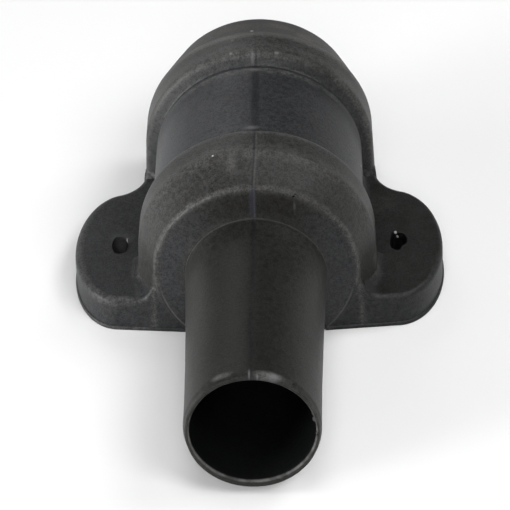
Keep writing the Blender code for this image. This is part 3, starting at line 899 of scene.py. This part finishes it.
def scuffs_and_highlight(made, speckle, broad, streaks):
    """How far each place is rubbed pale: ridges, stripes, fine lines and single patches, and the painted
    highlight on the mouth's rim.
    """
    by_bloom_and_painted_light = made.ramp(made.attribute("bloom_and_painted_light"), 0.3, 0.9, 0.05, 0.8)
    shoulder_wall = made.attribute("shoulder_wall")
    ridge = made.times(made.ramp(made.attribute("roundness"), 12, 80), by_bloom_and_painted_light)
    ridge = made.times(ridge, made.math("SUBTRACT", 1.0, shoulder_wall))
    stripes = made.times(made.stripes(rubbed_stripes()), made.attribute("socket"))
    patchy = made.ramp(made.math("ADD", broad, made.times(streaks, 0.6)), 0.5, 1.0, 0.5, 1.0)
    worn = made.times(made.largest(ridge, stripes), patchy, made.ramp(speckle, 0.4, 0.62, 0.25, 1.1), 0.62)
    fine = made.times(made.stripes(fine_lines()), made.math("SUBTRACT", 1.0, made.attribute("dull")))
    # Painted highlight along the mouth's broken inner edge
    rim = made.times(made.attribute("rim"), made.ramp(streaks, 0.35, 0.65, 0.25, 0.75))
    rub = made.times(made.spots(RUBS, 0.8), made.ramp(speckle, 0.38, 0.62, 0.45, 1.0))
    shoulder_edge = made.times(made.ring(SHOULDER_EDGE_RADIUS, 0.0006), shoulder_wall, 0.4)
    beside_seam = made.times(made.attribute("seam_beside"), 0.35)
    return made.largest(worn, fine, rim, rub, shoulder_edge, beside_seam)


def plastic():
    """Matte charcoal plastic: bloomed pale on the socket, rubbed along its ridges, and marked, with painted
    light, shade and glints in its colour.
    """
    made = Shader("dark_plastic")
    broad = made.noise(38, 4, 0.55)
    mottle = made.noise(420, 5, 0.68, seed=3.0)
    grain = made.noise(1300, 3, 0.65, seed=5.0)
    streaks = made.noise(160, 4, 0.6, stretch=(1, 0.28, 1), seed=11.0)
    speckle = made.math("ADD", made.times(mottle, 0.5), made.times(grain, 0.5))

    scuff_and_highlight = scuffs_and_highlight(made, speckle, broad, streaks)
    stain = made.times(made.spots(STAINS), made.ramp(speckle, 0.4, 0.6))
    band = made.times(made.attribute("seam_band"), made.ramp(streaks, 0.3, 0.6, 0.35, 0.7))
    colour = made.mix(scuff_and_highlight, skin_colour(made, speckle, broad), SCUFF_AND_HIGHLIGHT)
    colour = made.mix(stain, colour, BROWN)
    colour = made.mix(band, colour, SEAM_BAND)
    colour = made.mix(made.times(made.attribute("seam_edge"), 0.8), colour, SEAM_EDGE)
    for marks, softness, tint in MARKS:
        colour = made.mix(made.spots(marks, softness), colour, tint)
    made.link(made.surface.inputs["Base Color"], colour)

    rough = made.math("ADD", made.ramp(mottle, 0.3, 0.7, 0.46, 0.56), made.times(scuff_and_highlight, 0.1))
    made.link(made.surface.inputs["Roughness"], rough)
    by_dull = made.ramp(made.attribute("dull"), 0, 1.2, 1.0, 0.25)
    shine = made.times(made.ramp(speckle, 0.36, 0.64, 0.20, 0.36), by_dull, made.ramp(band, 0, 1, 1.0, 0.7))
    made.link(made.surface.inputs["Specular IOR Level"], shine)
    rough_skin = made.bump(mottle, 0.00016, 0.7)
    made.link(made.surface.inputs["Normal"], made.bump(grain, 0.00008, 0.9, rough_skin))
    return made.material


# Studio

def plane(name, size, centre, colour, roughness):
    bm = bmesh.new()
    bmesh.ops.create_grid(bm, x_segments=1, y_segments=1, size=size / 2)
    item = object_of(name, bm)
    item.location = centre
    material = bpy.data.materials.new(name)
    material.use_nodes = True
    surface = material.node_tree.nodes["Principled BSDF"]
    surface.inputs["Base Color"].default_value = (*colour, 1)
    surface.inputs["Roughness"].default_value = roughness
    surface.inputs["Specular IOR Level"].default_value = 0.2
    item.data.materials.append(material)
    return item


def soft_light(name, azimuth, elevation, width, power):
    """Round soft light aimed at the part. Azimuth 0 is behind the part, and 90 on its right."""
    across, up = math.radians(azimuth), math.radians(elevation)
    towards = Vector((math.sin(across) * math.cos(up), math.cos(across) * math.cos(up), math.sin(up)))
    light = bpy.data.lights.new(name, "AREA")
    light.shape = "DISK"
    light.size = width
    light.energy = power
    item = bpy.data.objects.new(name, light)
    item.location = towards * LIGHT_DISTANCE
    item.rotation_mode = "QUATERNION"
    item.rotation_quaternion = (-towards).to_track_quat("-Z", "Y")
    bpy.context.scene.collection.objects.link(item)


def room():
    """World: pale up to a little above the horizon, which carries the floor on, and dark higher up."""
    world = bpy.data.worlds.new("room")
    bpy.context.scene.world = world
    world.use_nodes = True
    nodes, links = world.node_tree.nodes, world.node_tree.links
    towards = nodes.new("ShaderNodeTexCoord")
    split = nodes.new("ShaderNodeSeparateXYZ")
    fade = nodes.new("ShaderNodeMapRange")
    for name, value in (("From Min", 0.10), ("From Max", 0.18), ("To Min", 0.95), ("To Max", 0.01)):
        fade.inputs[name].default_value = value
    links.new(towards.outputs["Generated"], split.inputs[0])
    links.new(split.outputs["Z"], fade.inputs["Value"])
    nodes["Background"].inputs["Color"].default_value = (1, 1, 1, 1)
    links.new(fade.outputs["Result"], nodes["Background"].inputs["Strength"])


def camera():
    """Long lens above the spigot, as the photo's, with its focal length and the picture's width in pixels."""
    focal, width = 3000, 510
    yaw, lift, roll = (math.radians(v) for v in (-2.15, 36.3, -2.2))
    ahead = Vector((math.sin(yaw) * math.cos(lift), math.cos(yaw) * math.cos(lift), -math.sin(lift)))
    right = ahead.cross(Vector((0, 0, 1))).normalized()
    up = right.cross(ahead)
    across = math.cos(roll) * right + math.sin(roll) * up
    upright = math.cos(roll) * up - math.sin(roll) * right
    data = bpy.data.cameras.new("camera")
    data.sensor_width = 36
    data.lens = data.sensor_width * focal / width
    data.clip_end = 50
    item = bpy.data.objects.new("camera", data)
    matrix = Matrix((across, upright, -ahead)).transposed().to_4x4()
    matrix.translation = Vector((0.0432, -1.17375, 0.897))
    item.matrix_world = matrix
    bpy.context.scene.collection.objects.link(item)
    bpy.context.scene.camera = item


def studio():
    plane("floor", 5, (0, 0, -0.0002), (0.864, 0.864, 0.864), 0.8)
    soft_light("overhead", 180, 85, 1.5, 23)
    soft_light("front", 180, 35, 1.5, 29)
    soft_light("right_front", 135, 50, 1.5, 34)
    soft_light("right_back", 70, 50, 1.5, 28)
    soft_light("left_low", 240, 10, 1.0, 66)
    soft_light("left", 259, 10, 1.2, 40)
    soft_light("back", 337, 35, 1.5, 12)
    room()
    camera()


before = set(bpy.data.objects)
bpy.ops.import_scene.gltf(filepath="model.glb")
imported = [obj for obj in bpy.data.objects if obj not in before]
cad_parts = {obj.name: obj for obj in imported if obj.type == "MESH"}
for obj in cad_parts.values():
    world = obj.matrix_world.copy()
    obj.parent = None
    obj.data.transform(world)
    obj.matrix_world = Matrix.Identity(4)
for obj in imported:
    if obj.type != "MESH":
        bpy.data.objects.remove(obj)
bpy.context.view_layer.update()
body = coupler()
sculpt(body)
body.data.materials.clear()
body.data.materials.append(plastic())
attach(body, "root")
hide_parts("coupler_body")
studio()
bpy.context.scene.view_settings.view_transform = "Standard"
